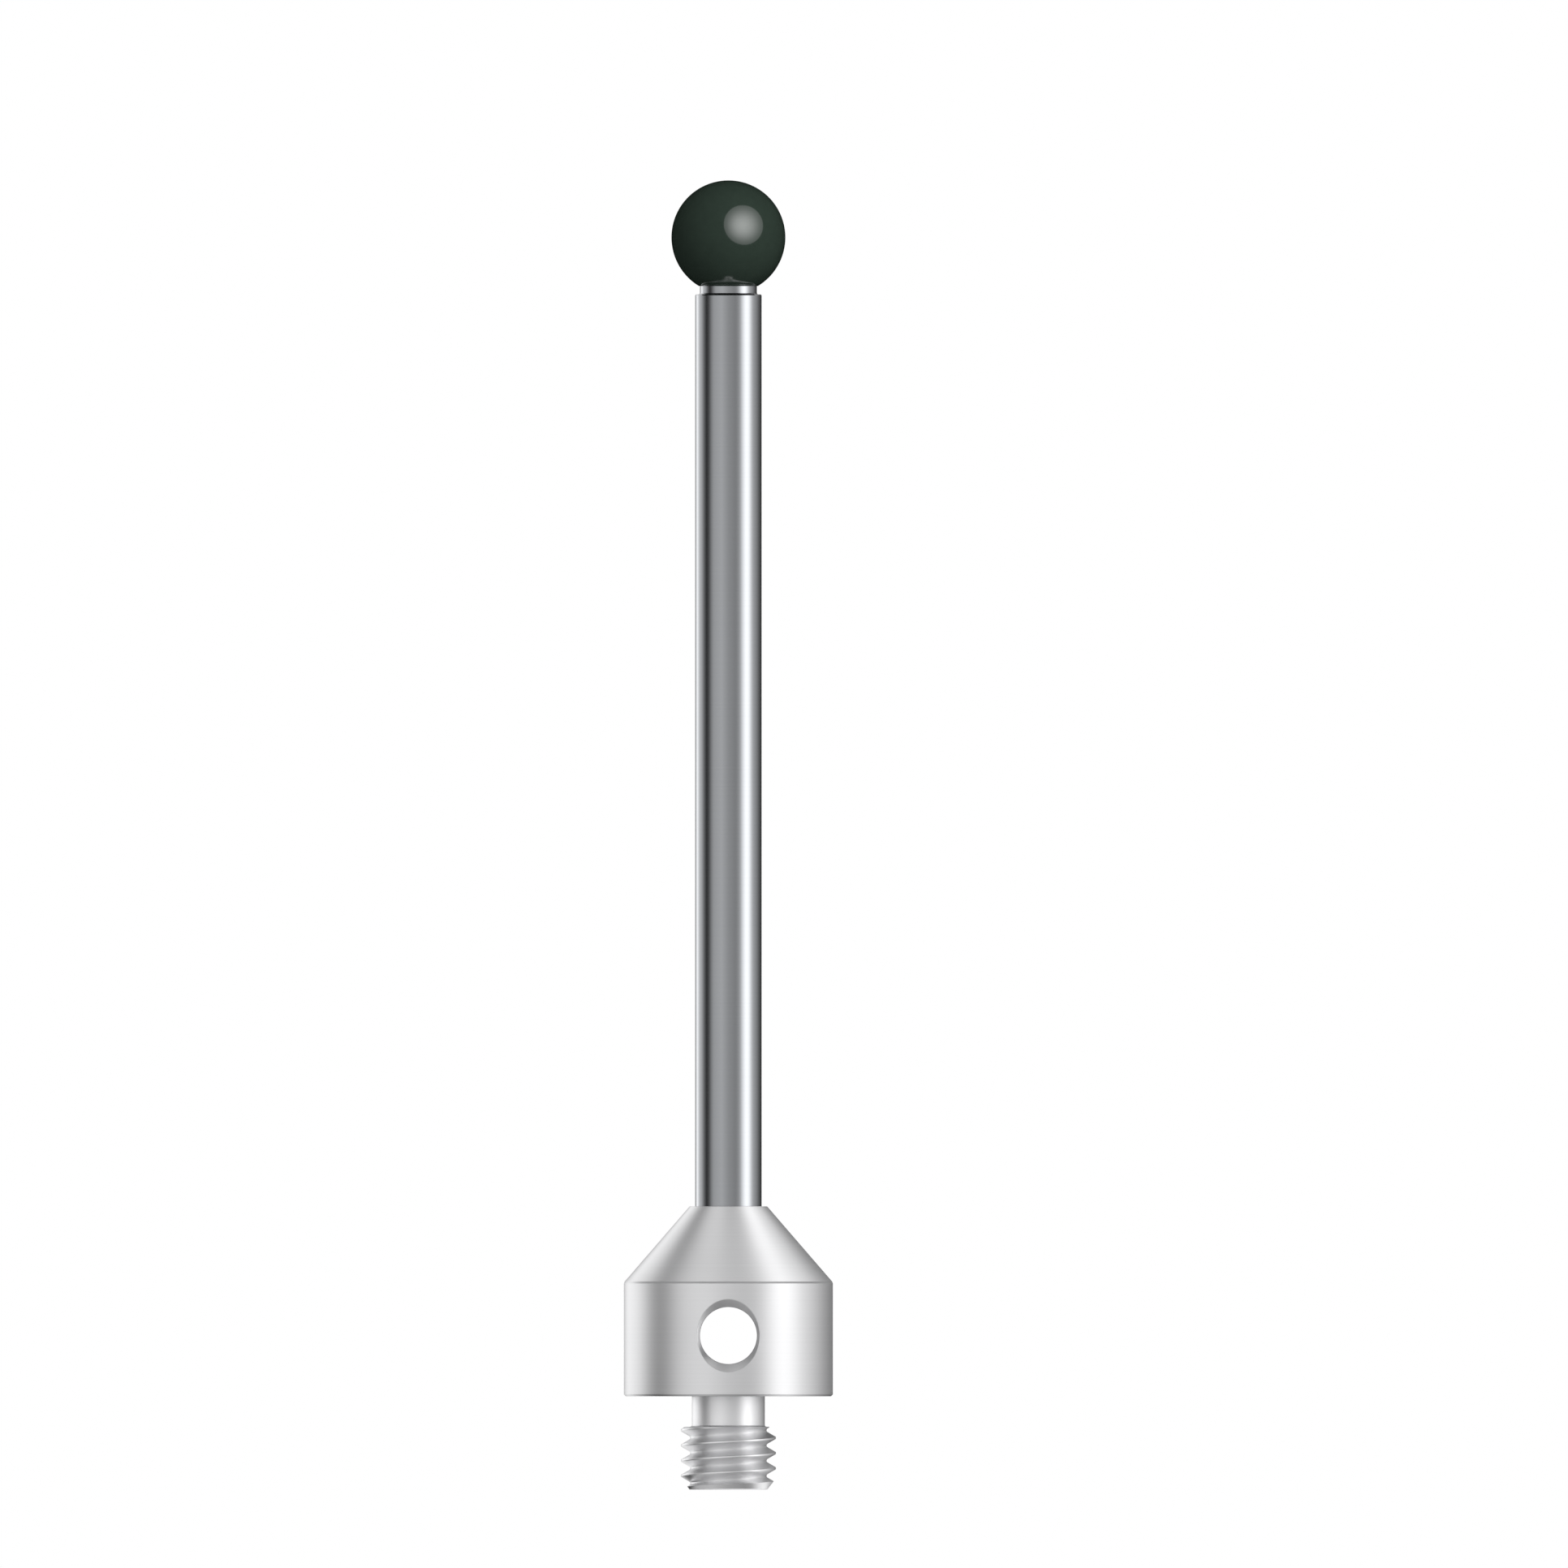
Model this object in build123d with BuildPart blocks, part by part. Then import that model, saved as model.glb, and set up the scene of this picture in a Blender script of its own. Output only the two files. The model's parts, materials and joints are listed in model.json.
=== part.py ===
"""Stylus for a coordinate measuring machine: a ceramic ball, a carbide stem and a steel M5 holder.

Sizes are millimetres. The origin is the centre of the holder's seating face, the face that is pulled
against the probe. +Z runs up the stem to the ball, and the cross hole runs along Y.
"""

import os

from build123d import *

# Overall reach, from the seating face to the top of the ball
STYLUS_LENGTH = 64.0

# Ball
BALL_D = 6.0
BALL_MOUTH_CHAMFER = 0.05

# Stem, with the spigot that enters the ball
STEM_D = 3.5
STEM_END_CHAMFER = 0.15
SHOULDER_CHAMFER = 0.05
SPIGOT_D = 3.0
SPIGOT_LENGTH = 3.2
SPIGOT_END_CHAMFER = 0.2
SPIGOT_ROOT_RADIUS = 0.08

# Adhesive film around the spigot and around the stem's seated end
BOND_GAP = 0.015

# Holder above the seating face
HOLDER_D = 11.0
HOLDER_BODY_HEIGHT = 6.0
HOLDER_NOSE_HEIGHT = 4.0
NOSE_LAND = 0.29
SOCKET_MOUTH_CHAMFER = 0.08
SEAT_RIM_CHAMFER = 0.1

# Cross hole for a tightening pin, countersunk at both mouths
CROSS_HOLE_D = 3.0
CROSS_HOLE_HEIGHT = 3.2
COUNTERSINK_D = 3.82
COUNTERSINK_ANGLE = 90.0
SOCKET_WEB = 0.9

# Turned relief in the seating face, which leaves the contact on its outer ring
SEAT_RELIEF_D = 6.0
SEAT_RELIEF_DEPTH = 0.15

# Stud below the seating face: a neck, then the M5 length at its nominal diameter
NECK_D = 3.84
NECK_LENGTH = 1.6
NECK_ROOT_RADIUS = 0.1
THREAD_D = 5.0
THREAD_LENGTH = 2.73
STUD_END_D = 4.08
STUD_END_TAPER = 0.58

# Heights that follow
holder_top = HOLDER_BODY_HEIGHT + HOLDER_NOSE_HEIGHT
socket_floor = CROSS_HOLE_HEIGHT + CROSS_HOLE_D / 2 + SOCKET_WEB
shoulder = STYLUS_LENGTH - BALL_D
ball_centre = STYLUS_LENGTH - BALL_D / 2
thread_start = -NECK_LENGTH
thread_end = thread_start - THREAD_LENGTH
stud_end = thread_end - STUD_END_TAPER

os.makedirs("parts", exist_ok=True)

# The ball is drilled from its lower pole, and the hole's floor sits on the spigot's end.
with BuildPart() as ball:
    with Locations((0, 0, ball_centre)):
        Sphere(BALL_D / 2)
    with Locations(Plane(origin=(0, 0, shoulder), z_dir=(0, 0, -1))):
        Hole(SPIGOT_D / 2 + BOND_GAP, depth=SPIGOT_LENGTH)
    hole_mouth = ball.edges().sort_by(Axis.Z)[0]
    chamfer(hole_mouth, BALL_MOUTH_CHAMFER)

# The stem stands on the socket's floor. Its shoulder is level with the ball's lower pole.
with BuildPart() as stem:
    with BuildSketch(Plane.XY.offset(socket_floor)):
        Circle(STEM_D / 2)
    extrude(amount=shoulder - socket_floor)
    with BuildSketch(stem.faces().sort_by(Axis.Z)[-1]):
        Circle(SPIGOT_D / 2)
    extrude(amount=SPIGOT_LENGTH)
    rings = stem.edges().filter_by(GeomType.CIRCLE).group_by(Axis.Z)
    step_rings = rings[1].sort_by(SortBy.RADIUS)
    fillet(step_rings[0], SPIGOT_ROOT_RADIUS)
    chamfer(step_rings[-1], SHOULDER_CHAMFER)
    chamfer(rings[0], STEM_END_CHAMFER)
    chamfer(rings[-1], SPIGOT_END_CHAMFER)

# The holder is one turned piece, bored for the stem and drilled across for the tightening pin.
with BuildPart() as holder:
    with BuildSketch(Plane.XZ):
        with BuildLine():
            Polyline(
                (0, stud_end),
                (STUD_END_D / 2, stud_end),
                (THREAD_D / 2, thread_end),
                (THREAD_D / 2, thread_start),
                (NECK_D / 2, thread_start),
                (NECK_D / 2, SEAT_RELIEF_DEPTH),
                (SEAT_RELIEF_D / 2, SEAT_RELIEF_DEPTH),
                (SEAT_RELIEF_D / 2, 0),
                (HOLDER_D / 2, 0),
                (HOLDER_D / 2, HOLDER_BODY_HEIGHT),
                (STEM_D / 2 + NOSE_LAND, holder_top),
                (0, holder_top),
                close=True,
            )
        make_face()
    revolve(axis=Axis.Z)

    # From the bottom up the straight walls are the stud's, the neck's, the relief's and the body's.
    neck_wall = holder.faces().filter_by(GeomType.CYLINDER).sort_by(Axis.Z)[1]
    fillet(neck_wall.edges().filter_by(GeomType.CIRCLE), NECK_ROOT_RADIUS)
    body_wall = holder.faces().filter_by(GeomType.CYLINDER).sort_by(Axis.Z)[-1]
    chamfer(body_wall.edges().filter_by(GeomType.CIRCLE).sort_by(Axis.Z)[0], SEAT_RIM_CHAMFER)

    with Locations((0, 0, holder_top)):
        Hole(STEM_D / 2 + BOND_GAP, depth=holder_top - socket_floor)
    mouth_rings = holder.edges().filter_by(GeomType.CIRCLE).group_by(Axis.Z)[-1]
    chamfer(mouth_rings.sort_by(SortBy.RADIUS)[0], SOCKET_MOUTH_CHAMFER)

    front = Plane(origin=(0, -HOLDER_D / 2, CROSS_HOLE_HEIGHT), z_dir=(0, -1, 0))
    back = Plane(origin=(0, HOLDER_D / 2, CROSS_HOLE_HEIGHT), z_dir=(0, 1, 0))
    with Locations(front, back):
        CounterSinkHole(CROSS_HOLE_D / 2, COUNTERSINK_D / 2, counter_sink_angle=COUNTERSINK_ANGLE)

ball.part.label = "ball"
stem.part.label = "stem"
holder.part.label = "holder"
export_step(ball.part, "parts/ball.step")
export_step(stem.part, "parts/stem.step")
export_step(holder.part, "parts/holder.step")
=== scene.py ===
"""Looks of a stylus for a coordinate measuring machine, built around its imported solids.

Each piece is a surface worked out as whole arrays, in metres and in the frame's own axes: +Z runs up
the stem to the ball, and the cross hole runs along Y. Profiles are given as (r, z) about the Z axis.
"""

import json
import math
from collections import namedtuple

import bpy
import numpy as np
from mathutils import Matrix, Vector

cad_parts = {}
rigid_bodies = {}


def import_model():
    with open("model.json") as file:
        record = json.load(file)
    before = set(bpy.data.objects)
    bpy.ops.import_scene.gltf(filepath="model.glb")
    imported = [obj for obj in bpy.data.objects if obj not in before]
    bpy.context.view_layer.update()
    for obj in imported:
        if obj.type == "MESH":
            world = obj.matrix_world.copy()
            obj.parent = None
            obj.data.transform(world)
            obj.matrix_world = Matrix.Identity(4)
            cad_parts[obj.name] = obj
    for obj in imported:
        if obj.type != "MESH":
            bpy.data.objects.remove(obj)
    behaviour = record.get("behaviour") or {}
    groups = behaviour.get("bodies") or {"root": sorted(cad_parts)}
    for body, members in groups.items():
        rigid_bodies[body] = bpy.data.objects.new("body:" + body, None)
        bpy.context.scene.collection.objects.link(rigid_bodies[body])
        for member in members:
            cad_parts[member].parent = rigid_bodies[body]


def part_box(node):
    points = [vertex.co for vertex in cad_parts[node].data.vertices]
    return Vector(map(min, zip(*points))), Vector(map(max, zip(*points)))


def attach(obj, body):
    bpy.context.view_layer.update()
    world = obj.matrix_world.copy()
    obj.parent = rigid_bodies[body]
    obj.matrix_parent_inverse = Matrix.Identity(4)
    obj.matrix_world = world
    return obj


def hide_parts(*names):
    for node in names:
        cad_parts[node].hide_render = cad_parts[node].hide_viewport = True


bl_info = {
    "name": "CMM stylus",
    "version": (1, 0, 0),
    "blender": (4, 5, 0),
    "location": "3D View > Sidebar > Stylus",
    "description": "Builds the ball, the stem and the turned holder of a touch probe's stylus",
    "category": "Object",
}

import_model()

MM = 0.001
ball_low, ball_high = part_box("ball")
stem_low, stem_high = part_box("stem")
holder_low, holder_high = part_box("holder")

# Points nearer than this fall together when patches are joined, in metres
WELD = 1.3e-7
# Segments in the small arc of a rounded edge
ARC_STEPS = 4
# Faces round the ball and the stem
COLUMNS = 160
# Height of a thread groove's middle where it crosses the stud's front, at -Y
FRONT_GROOVE = -1.985 * MM

# A grid of points with the outward normal of each, and its place on the piece's map: the share of a
# turn about the axis, and the length along the profile in millimetres
Patch = namedtuple("Patch", "points normals places")


def length(name, description, millimetres):
    """A property for a length, with its default given in millimetres."""
    return bpy.props.FloatProperty(
        name=name, description=description, default=millimetres * MM, min=0.0,
        precision=6, unit="LENGTH", subtype="DISTANCE",
    )


def linear(code):
    """The linear colour of an sRGB hex code, by the standard's two-part curve."""
    parts = np.array([int(code[i:i + 2], 16) for i in (0, 2, 4)]) / 255
    return tuple(np.where(parts <= 0.04045, parts / 12.92, ((parts + 0.055) / 1.055) ** 2.4))


def tint(name, description, code):
    """A property for a colour, with its default given as an sRGB hex code."""
    return bpy.props.FloatVectorProperty(
        name=name, description=description, default=linear(code), size=3, min=0.0, max=1.0,
        subtype="COLOR",
    )


def share(name, description, default):
    """A property for a value from 0 to 1."""
    return bpy.props.FloatProperty(
        name=name, description=description, default=default, min=0.0, max=1.0, subtype="FACTOR",
    )


class StylusBall(bpy.types.PropertyGroup):
    """Sizes and finish of the ball."""

    diameter: length("Diameter", "Diameter of the ball", 6.0)
    hole_diameter: length("Hole diameter", "Bore for the stem's spigot", 3.03)
    mouth_depth: length("Mouth depth", "Height of the break at the hole's mouth", 0.025)
    colour: tint("Colour", "Green-black of the ceramic", "2C3730")
    roughness: share("Roughness", "Roughness of the lapped surface", 0.12)


class StylusStem(bpy.types.PropertyGroup):
    """Sizes and finish of the stem."""

    diameter: length("Diameter", "Diameter of the rod", 3.5)
    end_chamfer: length("End chamfer", "Chamfer at the seated end", 0.15)
    shoulder_chamfer: length("Shoulder chamfer", "Chamfer round the shoulder under the ball", 0.05)
    spigot_diameter: length("Spigot diameter", "Diameter of the spigot that enters the ball", 3.0)
    spigot_chamfer: length("Spigot chamfer", "Chamfer at the spigot's end", 0.2)
    root_radius: length("Root radius", "Fillet between spigot and shoulder", 0.08)
    colour: tint("Colour", "Grey of the ground carbide", "ABADB0")
    roughness: share("Roughness", "Roughness of the ground surface", 0.17)


class StylusHolder(bpy.types.PropertyGroup):
    """Sizes and finish of the holder."""

    diameter: length("Diameter", "Diameter of the body", 11.0)
    body_height: length("Body height", "Height of the body above the seating face", 6.0)
    nose_land: length("Nose land", "Width of the ring round the stem, outside the stem's diameter", 0.29)
    nose_break: length("Nose break", "Broken edge between body and nose, along each face", 0.06)
    socket_diameter: length("Socket diameter", "Bore for the stem", 3.53)
    socket_chamfer: length("Socket chamfer", "Chamfer at the socket's mouth", 0.08)
    rim_chamfer: length("Rim chamfer", "Chamfer round the seating face", 0.1)
    relief_diameter: length("Relief diameter", "Diameter of the relief in the seating face", 6.0)
    relief_depth: length("Relief depth", "Depth of that relief", 0.15)
    hole_diameter: length("Cross hole", "Diameter of the cross hole", 3.0)
    hole_height: length("Cross hole height", "Height of the cross hole's axis", 3.2)
    countersink_diameter: length("Countersink", "Diameter of the 90 degree countersinks", 3.82)
    neck_diameter: length("Neck diameter", "Diameter of the neck over the thread", 3.84)
    neck_length: length("Neck length", "Length of the neck below the seating face", 1.6)
    neck_radius: length("Neck radius", "Fillets at both ends of the neck", 0.1)
    thread_diameter: length("Thread diameter", "Nominal diameter of the M5 thread", 5.0)
    thread_length: length("Thread length", "Length of full thread", 2.73)
    pitch: length("Pitch", "Pitch of the M5 thread", 0.8)
    end_diameter: length("End diameter", "Diameter of the stud's flat end", 4.08)
    edge: length("Edge radius", "Radius of a broken edge", 0.04)
    colour: tint("Colour", "Grey of the turned steel", "E1E1E2")
    roughness: share("Roughness", "Roughness of the turned surface", 0.38)


class StylusStage(bpy.types.PropertyGroup):
    """The floor and the light."""

    floor_colour: tint("Floor", "Colour of the floor", "F4F4F4")
    fill: bpy.props.FloatProperty(
        name="Fill", description="Strength of the even light from all sides", default=0.45, min=0.0,
    )


def rounded_profile(corners, spacing):
    """Rows of r, z and the outward normal along a profile with rounded corners, and the length along it.

    Each corner is (r, z, radius), and the material lies to the left of the way along. Where the way
    turns by an angle t, the arc leaves the run at radius * tan(t / 2) before the corner and meets the
    next run as far after it. Its centre lies one radius from both runs, and its points are the centre
    plus or minus radius times the normal, which turns evenly. Runs are divided to at most spacing.
    """
    points = np.array([corner[:2] for corner in corners])
    radii = np.array([corner[2] for corner in corners])
    steps = np.diff(points, axis=0)
    ways = steps / np.hypot(*steps.T)[:, None]
    rights = np.stack([ways[:, 1], -ways[:, 0]], axis=1)
    before, after = ways[:-1], ways[1:]
    cross = before[:, 0] * after[:, 1] - before[:, 1] * after[:, 0]
    turns = np.arctan2(cross, (before * after).sum(axis=1))
    trims = np.zeros(len(points))
    trims[1:-1] = radii[1:-1] * np.tan(np.abs(turns) / 2)
    rows = []
    for i, (way, right) in enumerate(zip(ways, rights)):
        start = points[i] + way * trims[i]
        end = points[i + 1] - way * trims[i + 1]
        count = max(1, math.ceil(np.hypot(*(end - start)) / spacing))
        run = start + (end - start) * np.linspace(0, 1, count + 1)[:, None]
        rows.append(np.hstack([run, np.broadcast_to(right, run.shape)]))
        if i < len(turns):
            side = np.sign(turns[i])
            angles = turns[i] * np.linspace(0, 1, ARC_STEPS + 1)[1:-1]
            cos, sin = np.cos(angles), np.sin(angles)
            normals = np.stack([right[0] * cos - right[1] * sin, right[0] * sin + right[1] * cos], axis=1)
            centre = end - side * radii[i + 1] * right
            rows.append(np.hstack([centre + side * radii[i + 1] * normals, normals]))
    rows = np.vstack(rows)
    along = np.concatenate([[0], np.cumsum(np.hypot(*np.diff(rows[:, :2], axis=0).T))])
    return rows, along


def turn(rows, along, angles):
    """A surface of revolution: the profile's point (r, z) at angle a is (r cos a, r sin a, z)."""
    r, z, normal_r, normal_z = (rows[:, k, None] for k in range(4))
    cos, sin = np.cos(angles), np.sin(angles)
    points = np.stack(np.broadcast_arrays(r * cos, r * sin, z), axis=-1)
    normals = np.stack(np.broadcast_arrays(normal_r * cos, normal_r * sin, normal_z), axis=-1)
    places = np.stack(np.broadcast_arrays(angles / math.tau, along[:, None] / MM), axis=-1)
    return Patch(points, normals, places)


def full_turn(columns):
    """Angles of a whole turn, with the first repeated at the end to close it."""
    return np.linspace(0, math.tau, columns + 1)


def weld(patches):
    """Joins patches into one closed surface.

    Each cell of a grid is a face with its corners in the order that makes it face along the normals.
    Points that fall together are one vertex. A cell with two corners together is a triangle, and one
    that has shrunk to a line is left out.
    """
    points, normals, places = (
        np.concatenate([patch[k].reshape(-1, patch[k].shape[-1]) for patch in patches]) for k in range(3)
    )
    cells, start = [], 0
    for patch in patches:
        grid = start + np.arange(patch.points[..., 0].size).reshape(patch.points.shape[:2])
        corners = [grid[:-1, :-1], grid[:-1, 1:], grid[1:, 1:], grid[1:, :-1]]
        cells.append(np.stack(corners, axis=-1).reshape(-1, 4))
        start += grid.size
    cells = np.concatenate(cells)
    a, b, c, d = (points[cells[:, k]] for k in range(4))
    backward = (np.cross(c - a, d - b) * normals[cells].sum(axis=1)).sum(axis=1) < 0
    cells[backward] = cells[backward][:, ::-1]
    keys = np.round(points / WELD).astype(np.int64)
    _, first, vertex = np.unique(keys, axis=0, return_index=True, return_inverse=True)
    vertex = vertex.ravel()
    same = vertex[cells] == vertex[np.roll(cells, -1, axis=1)]
    faces = [cells[~same.any(axis=1)]]
    for k in range(4):
        folded = same[:, k] & (same.sum(axis=1) == 1)
        faces.append(np.delete(cells[folded], k, axis=1))
    return points, normals, places, first, vertex, faces


def new_piece(name, patches):
    """An object at the origin whose mesh is the welded patches, with their normals and their map."""
    points, normals, places, first, vertex, faces = weld(patches)
    counts = np.concatenate([np.full(len(part), part.shape[1]) for part in faces])
    corners = np.concatenate([part.ravel() for part in faces])
    mesh = bpy.data.meshes.new(name)
    mesh.vertices.add(len(first))
    mesh.loops.add(len(corners))
    mesh.polygons.add(len(counts))
    mesh.vertices.foreach_set("co", points[first].astype(np.float32).ravel())
    mesh.loops.foreach_set("vertex_index", vertex[corners].astype(np.int32))
    mesh.polygons.foreach_set("loop_start", (np.cumsum(counts) - counts).astype(np.int32))
    mesh.uv_layers.new(name="UVMap").data.foreach_set("uv", places[corners].astype(np.float32).ravel())
    mesh.update(calc_edges=True)
    mesh.shade_smooth()
    mesh.normals_split_custom_set_from_vertices(normals[first].tolist())
    if 2 * len(mesh.edges) != len(corners):
        raise RuntimeError(f"{name} isn't closed: {len(mesh.edges)} edges for {len(corners)} face sides")
    piece = bpy.data.objects.new(name, mesh)
    bpy.context.scene.collection.objects.link(piece)
    return piece


def add_node(tree, kind, inputs=None, **settings):
    """A new node with its settings. inputs gives each socket a value, or an output to link to it."""
    node = tree.nodes.new(kind)
    for name, value in settings.items():
        setattr(node, name, value)
    for name, value in (inputs or {}).items():
        if isinstance(value, bpy.types.NodeSocket):
            tree.links.new(value, node.inputs[name])
        else:
            node.inputs[name].default_value = value
    return node


def new_material(name):
    """An empty material and its tree, with only the output."""
    material = bpy.data.materials.new(name)
    material.use_nodes = True
    material.node_tree.nodes.clear()
    return material, material.node_tree


def opaque(colour):
    """A colour with full alpha."""
    return (*colour, 1.0)


def silicon_nitride(settings):
    """Silicon nitride ceramic, ground and lapped to a fine sphere.

    It gives the eye a green-black body, faintly clouded by its grains, under a smooth gloss. Its index
    of refraction is about 2.0.
    """
    material, tree = new_material("lapped silicon nitride")
    place = add_node(tree, "ShaderNodeTexCoord")
    # Clouds of denser grain, 0.5 mm across
    clouds = add_node(tree, "ShaderNodeTexNoise", {
        "Vector": place.outputs["Object"], "Scale": 1 / (0.5 * MM), "Detail": 3.0, "Roughness": 0.6,
    })
    colour = add_node(tree, "ShaderNodeMix", {"Factor": clouds.outputs["Fac"]}, data_type="RGBA")
    body = np.array(settings.colour)
    strength = 0.14
    colour.inputs["A"].default_value = opaque(body * (1 - strength))
    colour.inputs["B"].default_value = opaque(np.minimum(body * (1 + strength), 1))
    shader = add_node(tree, "ShaderNodeBsdfPrincipled", {
        "Base Color": colour.outputs["Result"], "Roughness": settings.roughness, "IOR": 2.0,
    })
    add_node(tree, "ShaderNodeOutputMaterial", {"Surface": shader.outputs["BSDF"]})
    return material


def worked_metal(name, settings, mark, depth, strength, stretch, painted_light_below=None):
    """A metal whose surface was cut in rings about its axis.

    mark is the drawn width of a ring in millimetres and depth its height. strength is how far rings
    change the colour and the roughness, and stretch how far the gloss spreads across the rings. Below
    the height given last, the colour is lifted, up to a limit: painted light that offsets the shade in
    the stud's grooves and under the body.
    """
    material, tree = new_material(name)
    place = add_node(tree, "ShaderNodeUVMap", uv_map="UVMap")
    parts = add_node(tree, "ShaderNodeSeparateXYZ", {"Vector": place.outputs["UV"]})
    rings = add_node(tree, "ShaderNodeTexNoise", {
        "W": parts.outputs["Y"], "Scale": 1 / mark, "Detail": 2.0, "Roughness": 0.7,
    }, noise_dimensions="1D")
    where = add_node(tree, "ShaderNodeTexCoord")
    # A slow change over the surface, as from handling and wiping, a few millimetres across
    haze = add_node(tree, "ShaderNodeTexNoise", {
        "Vector": where.outputs["Object"], "Scale": 1 / (3.5 * MM), "Detail": 1.0,
    })
    colour = add_node(tree, "ShaderNodeMix", {"Factor": rings.outputs["Fac"]}, data_type="RGBA")
    body = np.array(settings.colour)
    colour.inputs["A"].default_value = opaque(body * (1 - strength))
    colour.inputs["B"].default_value = opaque(np.minimum(body * (1 + strength), 1))
    # Painted light: below this height the colour is lifted by a fifth, up to a limit, to offset the shade
    # in the thread's grooves and under the body
    if painted_light_below is not None:
        border = 0.05 * MM
        gain, limit = 1.2, 0.95
        axes = add_node(tree, "ShaderNodeSeparateXYZ", {"Vector": where.outputs["Object"]})
        below = add_node(tree, "ShaderNodeMapRange", {
            "Value": axes.outputs["Z"],
            "From Min": painted_light_below, "From Max": painted_light_below - border,
        })
        bright = add_node(tree, "ShaderNodeMix", {
            "Factor": below.outputs["Result"], "A": colour.outputs["Result"],
        }, data_type="RGBA")
        bright.inputs["B"].default_value = opaque(np.minimum(body * gain, limit))
        colour = bright
    both = add_node(tree, "ShaderNodeMath", {
        0: rings.outputs["Fac"], 1: haze.outputs["Fac"],
    }, operation="ADD")
    roughness = add_node(tree, "ShaderNodeMapRange", {
        "Value": both.outputs["Value"], "From Min": 0.5, "From Max": 1.5,
        "To Min": settings.roughness * (1 - 2 * strength),
        "To Max": settings.roughness * (1 + 2 * strength),
    })
    bump = add_node(tree, "ShaderNodeBump", {
        "Height": rings.outputs["Fac"], "Strength": 1.0, "Distance": depth * MM,
    })
    tangent = add_node(tree, "ShaderNodeTangent", direction_type="UV_MAP", uv_map="UVMap")
    shader = add_node(tree, "ShaderNodeBsdfPrincipled", {
        "Base Color": colour.outputs["Result"], "Metallic": 1.0, "Roughness": roughness.outputs["Result"],
        "Normal": bump.outputs["Normal"], "Anisotropic": stretch, "Anisotropic Rotation": 0.25,
        "Tangent": tangent.outputs["Tangent"],
    })
    add_node(tree, "ShaderNodeOutputMaterial", {"Surface": shader.outputs["BSDF"]})
    return material


def cemented_carbide(settings):
    """Tungsten carbide rod, centreless ground: a dark grey metal, nearly a mirror, with hair-fine rings.

    Grinding marks are under 0.01 mm apart. They are drawn 0.1 mm apart, so that they show.
    """
    return worked_metal("ground tungsten carbide", settings, 0.1, 0.0004, 0.03, 0.4)


def turned_steel(settings):
    """Stainless steel bar turned with a fine feed: a pale satin metal with faint rings round its axis.

    The feed leaves marks about 0.05 mm apart. They are drawn 0.18 mm apart, so that they show. The stud's
    thread is rolled. Below the seating face the colour is lifted: painted light on the neck and the
    thread, against the shade in the thread's grooves and under the body.
    """
    return worked_metal("turned stainless steel", settings, 0.18, 0.0012, 0.03, 0.25, painted_light_below=0.0)


def dress(piece, material, node):
    """Gives a piece its material, and puts it in the place of its node in the frame."""
    piece.data.materials.append(material)
    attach(piece, "root")
    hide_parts(node)


class STYLUS_OT_ball(bpy.types.Operator):
    """Makes the ball, with the hole that the spigot fills"""

    bl_idname = "stylus.ball"
    bl_label = "Ball"

    def execute(self, context):
        s = context.scene.stylus_ball
        radius, bore = s.diameter / 2, s.hole_diameter / 2
        centre = ball_high.z - radius
        mouth = ball_low.z
        start = math.asin((mouth - centre) / radius)
        drill_corner, fine = 0.03 * MM, 0.01 * MM
        edge = (radius * math.cos(start), mouth)
        # A short run along the sphere, so that the mouth's edge has a side to round
        lead = 0.02 * MM
        rows, along = rounded_profile([
            (0, stem_high.z, 0),
            (bore, stem_high.z, drill_corner),
            (bore, mouth + s.mouth_depth, fine),
            (*edge, fine),
            (edge[0] - lead * math.sin(start), edge[1] + lead * math.cos(start), 0),
        ], 0.3 * MM)
        angles = np.linspace(start, math.pi / 2, 90)[1:]
        cos, sin = np.cos(angles), np.sin(angles)
        sphere = np.stack([radius * cos, centre + radius * sin, cos, sin], axis=1)
        sphere[-1, 0] = 0
        rows = np.vstack([rows, sphere])
        along = np.concatenate([along, along[-1] + radius * (angles - start)])
        piece = new_piece("ceramic_ball", [turn(rows, along, full_turn(COLUMNS))])
        dress(piece, silicon_nitride(s), "ball")
        return {"FINISHED"}


class STYLUS_OT_stem(bpy.types.Operator):
    """Makes the stem, with its shoulder and the spigot that carries the ball"""

    bl_idname = "stylus.stem"
    bl_label = "Stem"

    def execute(self, context):
        s = context.scene.stylus_stem
        radius, spigot = s.diameter / 2, s.spigot_diameter / 2
        shoulder = ball_high.z - context.scene.stylus_ball.diameter
        fine = 0.015 * MM
        rows, along = rounded_profile([
            (0, stem_low.z, 0),
            (radius - s.end_chamfer, stem_low.z, fine),
            (radius, stem_low.z + s.end_chamfer, fine),
            (radius, shoulder - s.shoulder_chamfer, fine),
            (radius - s.shoulder_chamfer, shoulder, fine),
            (spigot, shoulder, s.root_radius),
            (spigot, stem_high.z - s.spigot_chamfer, fine),
            (spigot - s.spigot_chamfer, stem_high.z, fine),
            (0, stem_high.z, 0),
        ], 1.0 * MM)
        piece = new_piece("carbide_stem", [turn(rows, along, full_turn(COLUMNS))])
        dress(piece, cemented_carbide(s), "stem")
        return {"FINISHED"}


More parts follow.
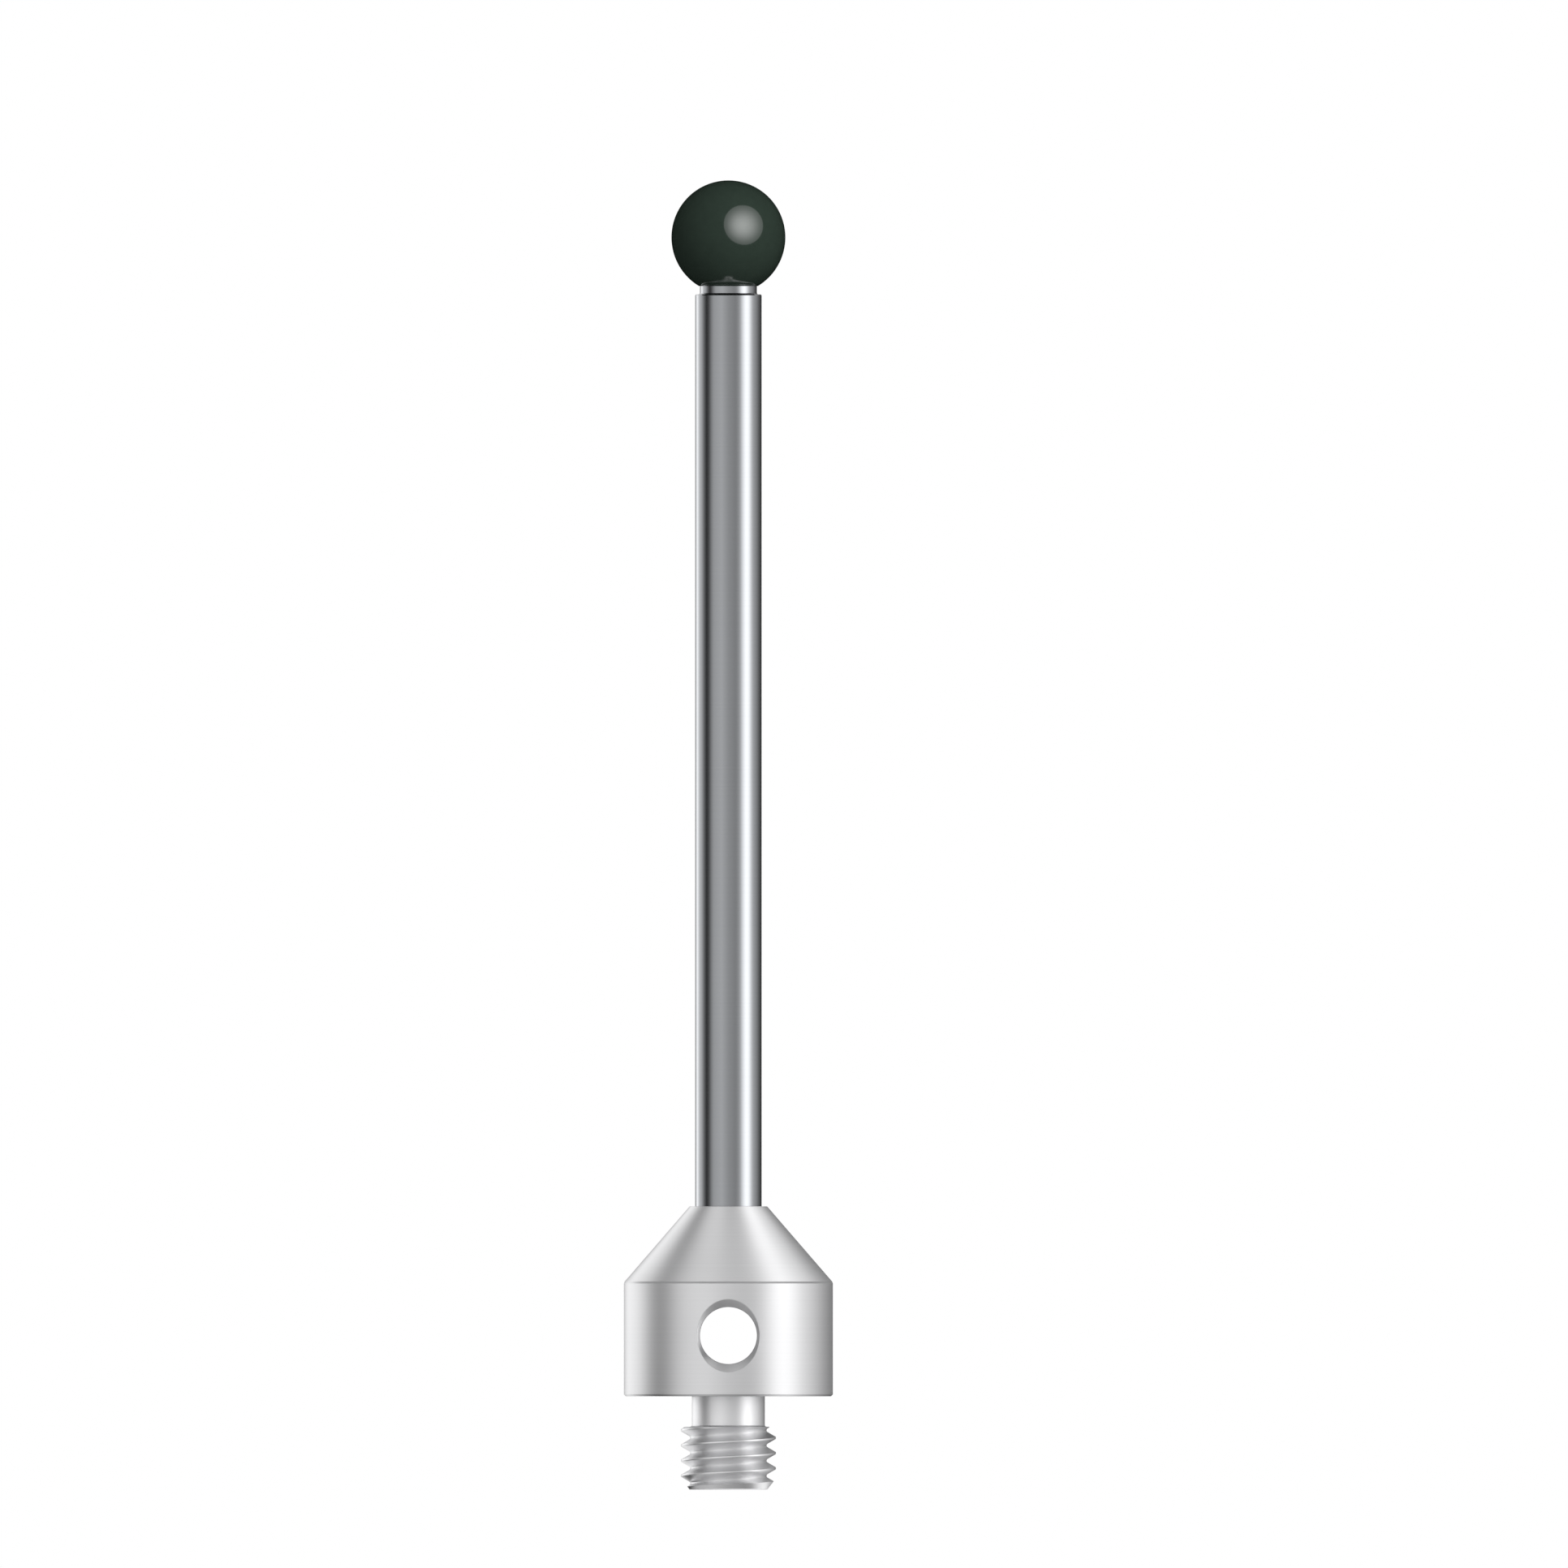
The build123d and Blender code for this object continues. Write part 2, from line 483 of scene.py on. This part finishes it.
def thread_radius(s, angle, z, top):
    """Radius of the stud at an angle and a height.

    The groove's middle rises by one pitch in a turn against the clock, seen from above. At a distance u
    from it, the root is an arc of radius 0.1443 pitch, a sixth of the profile's full triangle, and the
    flanks rise by sqrt(3) u. The crest is flat over an eighth of the pitch, so a flank ends at 7/16 of a
    pitch. The stud's end taper cuts all that. Towards the top, the groove's floor runs out at 45 degrees
    to just outside the neck's fillet.
    """
    crest = s.thread_diameter / 2
    root_arc = 0.14434 * s.pitch
    slope = math.sqrt(3)
    floor = crest - slope * s.pitch * 7 / 16
    centre = floor + 2 * root_arc
    start = groove_start(s)
    u = np.abs((z - s.pitch * angle / math.tau - start + s.pitch / 2) % s.pitch - s.pitch / 2)
    arc = centre - np.sqrt(np.maximum(root_arc**2 - u**2, 0))
    radius = np.where(u < root_arc * math.sin(math.pi / 3), arc, np.minimum(floor + slope * u, crest))
    clear = 0.005 * MM
    runout = s.neck_diameter / 2 + s.neck_radius + s.edge + clear
    radius = np.maximum(radius, runout - (top - z))
    thread_end = -s.neck_length - s.thread_length
    taper = (crest - s.end_diameter / 2) / (thread_end - holder_low.z)
    return np.minimum(radius, crest - taper * np.maximum(thread_end - z, 0))


def groove_start(s):
    """Height of a groove's middle at angle 0, along X, a quarter turn past the front."""
    return FRONT_GROOVE + s.pitch / 4


def thread_patches(s, columns):
    """The stud below the shoulder's edge, down to the middle of its end face.

    The thread's grid follows the helix: its rows rise by a pitch in a turn, 32 to the pitch, and are
    held between the two ends. Its normals come from the slopes of the radius over a short step. On its
    map, the profile is about 1.5 times as long as it is high.
    """
    angles = full_turn(columns)
    shoulder = -s.neck_length
    top, bottom = shoulder - s.edge, holder_low.z + s.edge
    spacing = s.pitch / 32
    start = groove_start(s)
    low = math.floor((bottom - s.pitch - start) / spacing)
    high = math.ceil((top - start) / spacing)
    heights = start + spacing * np.arange(low, high + 1)[:, None]
    z = np.clip(heights + s.pitch * angles / math.tau, bottom, top)
    step = 0.3 * spacing

    def radius(turn_by, rise):
        return thread_radius(s, angles + turn_by, z + rise, top)

    r = radius(0, 0)
    slope_z = (radius(0, step) - radius(0, -step)) / (2 * step)
    slope_a = (radius(step / r, 0) - radius(-step / r, 0)) / (2 * step)
    cos, sin = np.cos(angles), np.sin(angles)
    points = np.stack([r * cos, r * sin, z], axis=-1)
    normals = np.stack([cos + slope_a * sin, sin - slope_a * cos, -slope_z], axis=-1)
    normals /= np.linalg.norm(normals, axis=-1, keepdims=True)
    places = np.stack(np.broadcast_arrays(angles / math.tau, heights * 1.5 / MM), axis=-1)
    patches = [Patch(points, normals, places)]

    # Each end: the edge is a quarter circle in from the thread's own outline, then the face is flat
    inner = s.neck_diameter / 2 + s.neck_radius
    for end, up, middle, rings in ((top, 1, inner, 3), (bottom, -1, 0.0, 8)):
        outline = thread_radius(s, angles, end, top)
        bend = np.linspace(0, math.pi / 2, ARC_STEPS + 1)[:, None]
        r_edge = outline - s.edge * (1 - np.cos(bend))
        z_edge = np.broadcast_to(end + up * s.edge * np.sin(bend), r_edge.shape)
        r_face = r_edge[-1] + (middle - r_edge[-1]) * np.linspace(0, 1, rings + 1)[1:, None]
        z_face = np.full_like(r_face, end + up * s.edge)
        r, z = np.vstack([r_edge, r_face]), np.vstack([z_edge, z_face])
        lean = np.vstack([np.broadcast_to(bend, r_edge.shape), np.full_like(r_face, math.pi / 2)])
        points = np.stack([r * cos, r * sin, z], axis=-1)
        normals = np.stack([np.cos(lean) * cos, np.cos(lean) * sin, up * np.sin(lean)], axis=-1)
        places = np.stack(np.broadcast_arrays(angles / math.tau, r / MM), axis=-1)
        patches.append(Patch(points, normals, places))
    return patches


def mouth_radius(s, angle):
    """Distance from the hole's axis, square to it, at which the countersink leaves the body's surface.

    The 90 degree cone is at depth D + rho from the holder's axis, with D the body's radius less the
    countersink's, and the surface at sqrt(R^2 - (rho cos a)^2). Where the two agree,
    rho = (sqrt(D^2 + (1 + cos^2 a)(R^2 - D^2)) - D) / (1 + cos^2 a).
    """
    body = s.diameter / 2
    d = body - s.countersink_diameter / 2
    k = 1 + np.cos(angle) ** 2
    return (np.sqrt(d**2 + k * (body**2 - d**2)) - d) / k


def hole_patches(s, heights, along, quarter):
    """The front quarter of the body's wall with the cross hole in it, and half of the hole.

    The wall is unrolled to (turn, height). Its grid runs from the countersink's mouth to the quarter's
    outline, ring by ring along straight lines, wider apart as they go. The mouth and the inner edge are
    rounded by a curve with the sharp edge as its control point: (1-t)^2 A + 2t(1-t) C + t^2 B.
    """
    body, bore, edge = s.diameter / 2, s.hole_diameter / 2, s.edge
    z0 = s.hole_height
    low, high = heights[0], heights[-1]
    reach = math.pi / 4
    across = np.linspace(-reach, reach, quarter + 1)
    up = len(heights) - 1
    turn_out = np.concatenate([
        np.full(up, reach), across[:0:-1], np.full(up, -reach), across[:-1], [reach],
    ])
    z_out = np.concatenate([
        heights[:-1], np.full(quarter, high), heights[:0:-1], np.full(quarter, low), [low],
    ])
    bottom_right = math.atan2(low - z0, body * reach)
    top_right = math.atan2(high - z0, body * reach)
    corner_angles = [bottom_right, top_right, math.pi - top_right, math.pi - bottom_right,
                     bottom_right + math.tau]
    corner_steps = np.cumsum([0, up, quarter, up, quarter])
    a = np.interp(np.arange(len(turn_out)), corner_steps, corner_angles)
    cos, sin = np.cos(a), np.sin(a)
    rho = mouth_radius(s, a)

    def on_wall(turned, z):
        """Points and normals on the body's wall, at a turn from the front."""
        points = np.stack([body * np.sin(turned), -body * np.cos(turned), z], axis=-1)
        normals = np.stack([np.sin(turned), -np.cos(turned), np.zeros_like(z)], axis=-1)
        return points, normals

    # The wall round the mouth
    rings, widening = 12, 1.6
    spread = (np.linspace(0, 1, rings + 1) ** widening)[:, None]
    turn_in = np.arcsin((rho + edge) * cos / body)
    z_in = z0 + (rho + edge) * sin
    turned = turn_in + (turn_out - turn_in) * spread
    z = z_in + (z_out - z_in) * spread
    points, normals = on_wall(turned, z)
    rise = along[0] + (z - low)
    patches = [Patch(points, normals, np.stack([turned / math.tau + 0.75, rise / MM], axis=-1))]

    # The hole's own surfaces, as rows of (distance from its axis, y) from the mouth inwards
    root_half = math.sqrt(0.5)
    depth = body - s.countersink_diameter / 2
    cone = np.stack([-cos * root_half, np.full_like(a, -root_half), -sin * root_half], axis=-1)
    wall = np.stack([-cos, np.zeros_like(a), -sin], axis=-1)

    def around(distance, y):
        """Points about the hole's axis."""
        return np.stack(np.broadcast_arrays(distance * cos, y, z0 + distance * sin), axis=-1)

    def rounding(first, corner, last, from_normal, to_normal):
        """Rows of the rounded edge, and their normals turned from one face's to the other's."""
        t = np.linspace(0, 1, ARC_STEPS + 1)[:, None, None]
        rows = (1 - t) ** 2 * first + 2 * t * (1 - t) * corner + t**2 * last
        mixed = (1 - t) * from_normal + t * to_normal
        return rows, mixed / np.linalg.norm(mixed, axis=-1, keepdims=True)

    cone_steps, bore_steps = 4, 11
    back_off = edge * root_half
    cone_top = around(rho - back_off, -(rho - back_off + depth))
    cone_low = around(np.full_like(a, bore + back_off), -(bore + back_off + depth))
    bore_top = around(np.full_like(a, bore), -(bore + depth - edge))
    bore_mid = around(np.full_like(a, bore), 0.0)
    first_edge = rounding(points[0], around(rho, -(rho + depth)), cone_top, normals[0], cone)
    second_edge = rounding(cone_low, around(np.full_like(a, bore), -(bore + depth)), bore_top, cone, wall)
    for rows, facing in (
        first_edge,
        (cone_top + (cone_low - cone_top) * np.linspace(0, 1, cone_steps + 1)[:, None, None], cone),
        second_edge,
        (bore_top + (bore_mid - bore_top) * np.linspace(0, 1, bore_steps + 1)[:, None, None], wall),
    ):
        share_of_turn = np.broadcast_to(a / math.tau, rows.shape[:2])
        places = np.stack([share_of_turn, rows[..., 1] / MM], axis=-1)
        patches.append(Patch(rows, np.broadcast_to(facing, rows.shape), places))
    return patches


def mirrored(patch):
    """The same patch on the other side of the XZ plane."""
    flip = np.array([1, -1, 1])
    return Patch(patch.points * flip, patch.normals * flip, patch.places)


class STYLUS_OT_holder(bpy.types.Operator):
    """Makes the holder: nose, body with its cross hole, seating face, neck and threaded stud"""

    bl_idname = "stylus.holder"
    bl_label = "Holder"

    def execute(self, context):
        s = context.scene.stylus_holder
        stem = context.scene.stylus_stem
        columns = 192
        body, neck, socket = s.diameter / 2, s.neck_diameter / 2, s.socket_diameter / 2
        shoulder = -s.neck_length
        nose = stem.diameter / 2 + s.nose_land
        fall, rise = body - nose, holder_high.z - s.body_height
        slant = math.hypot(fall, rise)
        rows, along = rounded_profile([
            (s.thread_diameter / 2, shoulder, 0),
            (neck, shoulder, s.neck_radius),
            (neck, s.relief_depth, s.neck_radius),
            (s.relief_diameter / 2, s.relief_depth, s.edge / 2),
            (s.relief_diameter / 2, 0, s.edge),
            (body - s.rim_chamfer, 0, s.edge),
            (body, s.rim_chamfer, s.edge),
            (body, s.body_height - s.nose_break, s.edge / 4),
            (body - s.nose_break * fall / slant, s.body_height + s.nose_break * rise / slant, s.edge / 4),
            (nose, holder_high.z, s.edge),
            (socket + s.socket_chamfer, holder_high.z, s.edge / 2),
            (socket, holder_high.z - s.socket_chamfer, s.edge / 2),
            (socket, stem_low.z, s.edge),
            (0, stem_low.z, 0),
        ], 0.3 * MM)
        # The thread's own patches make the shoulder's face, up to where the neck's fillet starts
        first = np.flatnonzero(np.isclose(rows[:, 0], neck + s.neck_radius, atol=WELD))[0]
        rows, along = rows[first:], along[first:]
        straight = rows[:, 2] > 1 - 1e-6
        on_body = np.flatnonzero(np.isclose(rows[:, 0], body, atol=WELD) & straight)
        low, high = on_body[0], on_body[-1]
        angles = full_turn(columns)
        quarter = columns // 4
        eighth = columns // 8
        patches = [turn(rows[:low + 1], along[:low + 1], angles), turn(rows[high:], along[high:], angles)]
        wall, wall_along = rows[low:high + 1], along[low:high + 1]
        step = math.tau / columns
        for start in (-eighth, -eighth + 2 * quarter):
            patches.append(turn(wall, wall_along, step * np.arange(start, start + quarter + 1)))
        front = hole_patches(s, wall[:, 1], wall_along, quarter)
        patches += front + [mirrored(patch) for patch in front]
        patches += thread_patches(s, columns)
        piece = new_piece("steel_holder", patches)
        dress(piece, turned_steel(s), "holder")
        return {"FINISHED"}


# The tent's brightness, seen in the metal from the front, where the metal faces so many degrees to the
# left or right
TENT_STOPS = (
    (-90, 0.06), (-83, 0.14), (-77, 0.8), (-72, 1.2), (-60, 1.05), (-54, 0.85), (-46, 0.24), (-41, 0.04),
    (-36, 0.13), (-31, 0.44), (-26, 0.72), (-12, 0.85), (0, 0.6), (13, 0.46), (18, 0.6), (25, 1.35),
    (30, 1.6), (35, 1.5), (40, 1.1), (44, 0.8), (50, 0.73), (57, 0.48), (64, 0.25), (74, 0.07), (83, 0.05),
    (90, 0.3),
)
# Its share of that where the metal faces so far down or up, which draws fine dark lines along the edges
LEAN_STOPS = (
    (-56, 0.9), (-48, 0.6), (-38, 0.6), (-32, 1), (7, 1), (12, 0), (25, 0), (30, 1), (54, 1), (62, 0.3),
)
# Degrees to the left or right between which that share loses its effect
LEAN_FADES = (58, 68)
# Degrees from straight behind up to which the tent is darkest, and from which it has its full paint
DARK_BEHIND = (9, 22)
DARKEST = 0.05
TENT_RADIUS = 320 * MM
TENT_MIDDLE = 30 * MM
TENT_HEM = 0.05 * MM


def tent():
    """A painted tent that only shines in the metal pieces.

    Along a direction from the middle, its wall lies at the radius or just over the floor, whichever is
    nearer.
    Metal seen from the front, at -Y, shows the direction d where its normal is along d plus the view,
    so the paint follows that normal's turn to the left or right, atan2(dx, 1 - dy), and its lean. Below
    level it follows half the direction's own turn, so that from above the metal shows the same bands.
    Straight behind the metal the tent is dark, which draws the outlines.
    """
    turned = np.radians(np.linspace(-180, 180, 145))
    raised = np.radians(np.linspace(-90, 90, 73))[:, None]
    way = np.stack(np.broadcast_arrays(
        np.cos(raised) * np.sin(turned), -np.cos(raised) * np.cos(turned), np.sin(raised)), axis=-1)
    floor = TENT_MIDDLE - holder_low.z - TENT_HEM
    distance = np.minimum(TENT_RADIUS, floor / np.maximum(-np.sin(raised), 1e-6))[..., None]
    points = way * distance + np.array([0, 0, TENT_MIDDLE])
    places = np.stack(np.broadcast_arrays(turned / math.tau, raised / math.pi), axis=-1)
    piece = new_piece("reflection_tent", [Patch(points, -way, places)])
    co = np.empty(len(piece.data.vertices) * 3, np.float32)
    piece.data.vertices.foreach_get("co", co)
    way = co.reshape(-1, 3) - np.array([0, 0, TENT_MIDDLE])
    way /= np.linalg.norm(way, axis=1, keepdims=True)
    facing = way - np.array([0, 1, 0])
    half_turn = np.arctan2(way[:, 0], -way[:, 1]) / 2
    tilt = np.degrees(np.where(way[:, 2] < 0, half_turn, np.arctan2(facing[:, 0], -facing[:, 1])))
    lean = np.degrees(np.arcsin(np.clip(facing[:, 2] / np.linalg.norm(facing, axis=1), -1, 1)))
    behind = np.degrees(np.arccos(np.clip(way[:, 1], -1, 1)))
    shine = np.interp(tilt, *np.array(TENT_STOPS).T)
    dips = 1 - np.interp(lean, *np.array(LEAN_STOPS).T)
    shine *= 1 - dips * np.interp(np.abs(tilt), LEAN_FADES, (1, 0))
    shine *= np.interp(behind, DARK_BEHIND, (DARKEST, 1))
    paint = piece.data.attributes.new("shine", "FLOAT", "POINT")
    paint.data.foreach_set("value", shine.astype(np.float32))
    material, tree = new_material("painted tent cloth")
    strength = add_node(tree, "ShaderNodeAttribute", attribute_name="shine")
    light = add_node(tree, "ShaderNodeEmission", {"Strength": strength.outputs["Fac"]})
    add_node(tree, "ShaderNodeOutputMaterial", {"Surface": light.outputs["Emission"]})
    material.cycles.emission_sampling = "NONE"
    piece.data.materials.append(material)
    piece.visible_camera = piece.visible_diffuse = piece.visible_shadow = False
    piece.visible_transmission = piece.visible_volume_scatter = False
    return piece


def floor_sheet(settings):
    """A flat pale floor under the stud's end."""
    side = 3.0
    edge = np.linspace(-side, side, 3)
    x, y = np.meshgrid(edge, edge)
    points = np.stack([x, y, np.full_like(x, holder_low.z)], axis=-1)
    grid = np.arange(9).reshape(3, 3)
    cells = np.stack([grid[:-1, :-1], grid[:-1, 1:], grid[1:, 1:], grid[1:, :-1]], axis=-1).reshape(-1, 4)
    mesh = bpy.data.meshes.new("floor")
    mesh.from_pydata(points.reshape(-1, 3).tolist(), [], cells.tolist())
    piece = bpy.data.objects.new("floor", mesh)
    bpy.context.scene.collection.objects.link(piece)
    material, tree = new_material("white paper")
    shader = add_node(tree, "ShaderNodeBsdfDiffuse", {"Color": opaque(settings.floor_colour)})
    add_node(tree, "ShaderNodeOutputMaterial", {"Surface": shader.outputs["BSDF"]})
    piece.data.materials.append(material)
    piece.visible_diffuse = False
    return piece


def aim(way):
    """The rotation that points an object's -Z against a direction, so that it shines from there."""
    return Vector(way).to_track_quat("Z", "Y").to_euler()


def direction(turned, raised):
    """A unit direction from its turn to the right of the front and its rise above level, in degrees."""
    a, e = math.radians(turned), math.radians(raised)
    return (math.cos(e) * math.sin(a), -math.cos(e) * math.cos(a), math.sin(e))


def sun(name, turned, raised, strength, spread):
    """A far soft light from a direction, which no metal mirrors."""
    lamp = bpy.data.lights.new(name, "SUN")
    lamp.energy = strength
    lamp.angle = math.radians(spread)
    piece = bpy.data.objects.new(name, lamp)
    piece.rotation_euler = aim(direction(turned, raised))
    piece.visible_glossy = False
    bpy.context.scene.collection.objects.link(piece)
    return piece


def panel(name, way, distance, height, wide, high, radiance):
    """A rectangle of even light that faces the axis at a height, from a direction and a distance."""
    lamp = bpy.data.lights.new(name, "AREA")
    lamp.shape = "RECTANGLE"
    lamp.size, lamp.size_y = wide, high
    lamp.energy = radiance * math.pi * wide * high
    piece = bpy.data.objects.new(name, lamp)
    piece.location = np.array(way) * distance + np.array([0, 0, height])
    piece.rotation_euler = aim(way)
    piece.visible_camera = False
    piece.visible_diffuse = False
    bpy.context.scene.collection.objects.link(piece)
    return piece


def fade_out(lamp, axes, rim):
    """Dims an area lamp smoothly from its middle to its rim, along one or both of its own axes."""
    lamp.use_nodes = True
    tree = lamp.node_tree
    tree.nodes.clear()
    place = add_node(tree, "ShaderNodeNewGeometry")
    from_middle = add_node(tree, "ShaderNodeVectorMath", {
        0: place.outputs["Parametric"], 1: (0.5, 0.5, 0),
    }, operation="SUBTRACT")
    kept = add_node(tree, "ShaderNodeVectorMath", {
        0: from_middle.outputs["Vector"], 1: axes,
    }, operation="MULTIPLY")
    far = add_node(tree, "ShaderNodeVectorMath", {0: kept.outputs["Vector"]}, operation="LENGTH")
    fade = add_node(tree, "ShaderNodeMapRange", {
        "Value": far.outputs["Value"], "From Min": 0.0, "From Max": 0.5, "To Min": 1.0, "To Max": rim,
    }, interpolation_type="SMOOTHSTEP")
    glow = add_node(tree, "ShaderNodeEmission", {"Strength": fade.outputs["Result"]})
    add_node(tree, "ShaderNodeOutputLight", {"Surface": glow.outputs["Emission"]})


def softbox(name, ball_radius, view, way, wide, radiance):
    """A round soft lamp in a direction from the ball, which shows in it as a pale spot from a view.

    The spot's normal halves the angle between the view and the lamp. The lamp stands so near the spot
    that it doesn't show along the ball's edge from other sides.
    """
    off_spot = 0.5 * MM
    lamp = bpy.data.lights.new(name, "AREA")
    lamp.shape = "DISK"
    lamp.size = wide
    lamp.energy = radiance * math.pi**2 * (wide / 2) ** 2
    way = np.array(way)
    normal = way + np.array(view)
    spot = normal / np.linalg.norm(normal) * ball_radius
    piece = bpy.data.objects.new(name, lamp)
    piece.location = np.array([0, 0, ball_high.z - ball_radius]) + spot + way * off_spot
    piece.rotation_euler = aim(way)
    piece.visible_camera = False
    piece.visible_diffuse = False
    bpy.context.scene.collection.objects.link(piece)
    return piece


def group_of(name, *pieces):
    """A collection of pieces that a light is linked to."""
    group = bpy.data.collections.new(name)
    for piece in pieces:
        group.objects.link(piece)
    return group


class STYLUS_OT_stage(bpy.types.Operator):
    """Makes the floor, the background, the lights and the camera"""

    bl_idname = "stylus.stage"
    bl_label = "Stage"

    def execute(self, context):
        s = context.scene.stylus_stage
        scene = context.scene
        floor = floor_sheet(s)
        cloth = tent()
        made = bpy.data.objects
        ball, stem, holder = made["ceramic_ball"], made["carbide_stem"], made["steel_holder"]
        cloth.light_linking.receiver_collection = group_of("metal pieces", stem, holder)

        sheet = group_of("floor sheet", floor)
        ceramics = group_of("ceramic pieces", ball)
        sun("floor key", 31, 38, 2.3, 40).light_linking.receiver_collection = sheet
        sun("floor top", -40, 75, 0.62, 60).light_linking.receiver_collection = sheet
        sun("ball sun", 31, 24.5, 3.0, 40).light_linking.receiver_collection = ceramics
        sun("ball back sun", -150, 12, 1.3, 50).light_linking.receiver_collection = ceramics
        radius = context.scene.stylus_ball.diameter / 2
        front = softbox("ball front softbox", radius, direction(0, 0), direction(31.2, 23.1), 3.2 * MM, 2.7)
        front.light_linking.receiver_collection = ceramics
        fade_out(front.data, (1, 1, 0), 0.2)
        behind = direction(-135, 15)
        back = softbox("ball back softbox", radius, behind, direction(-168.4, 41), 2.5 * MM, 0.36)
        back.light_linking.receiver_collection = ceramics
        back.data.spread = math.radians(66)
        # Panels stand this far off, inside the tent, at the middle height of what they light
        reach, low, middle = 90 * MM, 5 * MM, 34 * MM
        turned_piece = group_of("holder piece", holder)
        for side, shine in ((-75, 0.26), (15, 0.24), (105, 0.18), (195, 0.15)):
            card = panel(f"holder card {side}", direction(side, 0), reach, low, 0.18, 0.2, shine)
            card.light_linking.receiver_collection = turned_piece
        roof = panel("holder roof", (0, 0, 1), 95 * MM, low, 0.2, 0.2, 0.15)
        roof.light_linking.receiver_collection = turned_piece

        rod = group_of("stem piece", stem)
        for side, wide, shine in ((70, 0.1, 1.0), (-135, 0.055, 0.75)):
            strip = panel(f"stem strip {side}", direction(side, 0), reach, middle, wide, 0.2, shine)
            strip.light_linking.receiver_collection = rod
            fade_out(strip.data, (1, 0, 0), 0.0)

        world = bpy.data.worlds.new("white background")
        world.use_nodes = True
        tree = world.node_tree
        tree.nodes.clear()
        path = add_node(tree, "ShaderNodeLightPath")
        seen = add_node(tree, "ShaderNodeMath", {
            0: path.outputs["Is Camera Ray"], 1: path.outputs["Is Glossy Ray"],
        }, operation="MAXIMUM")
        shown = add_node(tree, "ShaderNodeMath", {
            0: seen.outputs["Value"], 1: path.outputs["Is Transmission Ray"],
        }, operation="MAXIMUM")
        strength = add_node(tree, "ShaderNodeMapRange", {
            "Value": shown.outputs["Value"], "To Min": s.fill, "To Max": 1.0,
        })
        paper = add_node(tree, "ShaderNodeBackground", {
            "Color": (1, 1, 1, 1), "Strength": strength.outputs["Result"],
        })
        add_node(tree, "ShaderNodeOutputWorld", {"Surface": paper.outputs["Background"]})
        scene.world = world

        # The drawing's own frame: 1932 pixels wide at 23.41 pixels to the millimetre, level, from -Y
        pixels, scale = 1932, 23.41
        axis_x, seat_y = 897.5, 1720.5
        far = 0.3
        view = bpy.data.cameras.new("camera")
        view.type = "ORTHO"
        view.ortho_scale = pixels / scale * MM
        view.clip_start = 1 * MM
        view.clip_end = 10
        camera = bpy.data.objects.new("camera", view)
        camera.location = ((pixels / 2 - axis_x) / scale * MM, -far, (seat_y - pixels / 2) / scale * MM)
        camera.rotation_euler = (math.pi / 2, 0, 0)
        scene.collection.objects.link(camera)
        scene.camera = camera
        scene.view_settings.view_transform = "Standard"
        return {"FINISHED"}


class STYLUS_PT_build(bpy.types.Panel):
    """Lists the pieces of the stylus"""

    bl_label = "Stylus"
    bl_idname = "STYLUS_PT_build"
    bl_space_type = "VIEW_3D"
    bl_region_type = "UI"
    bl_category = "Stylus"

    def draw(self, context):
        for operator, group in PIECES:
            box = self.layout.box()
            box.operator(operator.bl_idname)
            settings = getattr(context.scene, group)
            for name in settings.__annotations__:
                box.prop(settings, name)


PIECES = (
    (STYLUS_OT_ball, "stylus_ball"),
    (STYLUS_OT_stem, "stylus_stem"),
    (STYLUS_OT_holder, "stylus_holder"),
    (STYLUS_OT_stage, "stylus_stage"),
)
GROUPS = {
    "stylus_ball": StylusBall,
    "stylus_stem": StylusStem,
    "stylus_holder": StylusHolder,
    "stylus_stage": StylusStage,
}
CLASSES = (*GROUPS.values(), *(operator for operator, _ in PIECES), STYLUS_PT_build)


def register():
    for kind in CLASSES:
        bpy.utils.register_class(kind)
    for name, kind in GROUPS.items():
        setattr(bpy.types.Scene, name, bpy.props.PointerProperty(type=kind))


def unregister():
    for name in GROUPS:
        delattr(bpy.types.Scene, name)
    for kind in reversed(CLASSES):
        bpy.utils.unregister_class(kind)


def main():
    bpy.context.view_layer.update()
    register()
    bpy.ops.stylus.ball()
    bpy.ops.stylus.stem()
    bpy.ops.stylus.holder()
    bpy.ops.stylus.stage()


if __name__ == "__main__":
    main()
